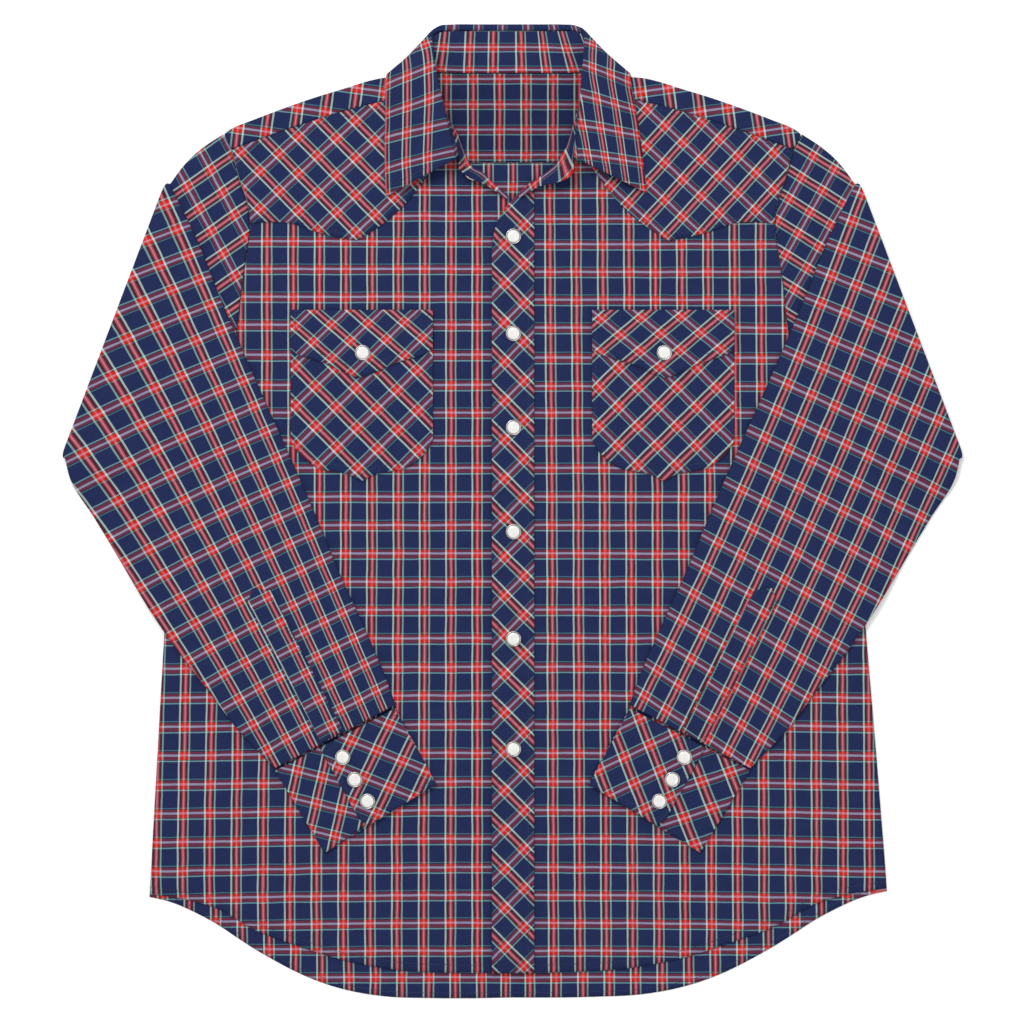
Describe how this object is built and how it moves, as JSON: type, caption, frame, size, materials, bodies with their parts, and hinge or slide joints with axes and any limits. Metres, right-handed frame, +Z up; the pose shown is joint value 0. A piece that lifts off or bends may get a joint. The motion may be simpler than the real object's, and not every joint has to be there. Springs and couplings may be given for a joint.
{
  "type": "western snap shirt",
  "caption": "Long-sleeved western shirt in navy, red and white plaid cotton, laid flat with its sleeves folded in, with pointed yokes, pocket flaps and pearl snaps.",
  "frame": {"origin": "middle of the underside, on the surface that the shirt lies on", "axes": "+X towards the wearer's left, +Y from the tail up to the collar, +Z up out of the front"},
  "size_m": [0.7842, 0.8489, 0.0226],
  "materials": {
    "plaid_cotton": "soft woven plaid in navy, crimson and white",
    "pearl": "pearly gloss",
    "snap_metal": "polished"
  },
  "bodies": {
    "root": {"back_panel": "plaid_cotton", "back_yoke": "plaid_cotton", "back_yoke_inside": "plaid_cotton", "front_right": "plaid_cotton", "front_left": "plaid_cotton", "placket": "plaid_cotton", "front_yoke_right": "plaid_cotton", "front_yoke_left": "plaid_cotton", "collar_stand": "plaid_cotton", "collar_leaf": "plaid_cotton", "sleeve_right": "plaid_cotton", "sleeve_left": "plaid_cotton", "sleeve_placket_right": "plaid_cotton", "sleeve_placket_left": "plaid_cotton", "cuff_right": "plaid_cotton", "cuff_left": "plaid_cotton", "pocket_right": "plaid_cotton", "pocket_left": "plaid_cotton", "pocket_flap_right": "plaid_cotton", "pocket_flap_left": "plaid_cotton", "snap_cap_01": "pearl", "snap_cap_02": "pearl", "snap_cap_03": "pearl", "snap_cap_04": "pearl", "snap_cap_05": "pearl", "snap_cap_06": "pearl", "snap_cap_07": "pearl", "snap_cap_08": "pearl", "snap_cap_09": "pearl", "snap_cap_10": "pearl", "snap_cap_11": "pearl", "snap_cap_12": "pearl", "snap_cap_13": "pearl", "snap_cap_14": "pearl", "snap_cap_15": "pearl", "snap_rim_01": "snap_metal", "snap_rim_02": "snap_metal", "snap_rim_03": "snap_metal", "snap_rim_04": "snap_metal", "snap_rim_05": "snap_metal", "snap_rim_06": "snap_metal", "snap_rim_07": "snap_metal", "snap_rim_08": "snap_metal", "snap_rim_09": "snap_metal", "snap_rim_10": "snap_metal", "snap_rim_11": "snap_metal", "snap_rim_12": "snap_metal", "snap_rim_13": "snap_metal", "snap_rim_14": "snap_metal", "snap_rim_15": "snap_metal"}
  },
  "joints": []
}
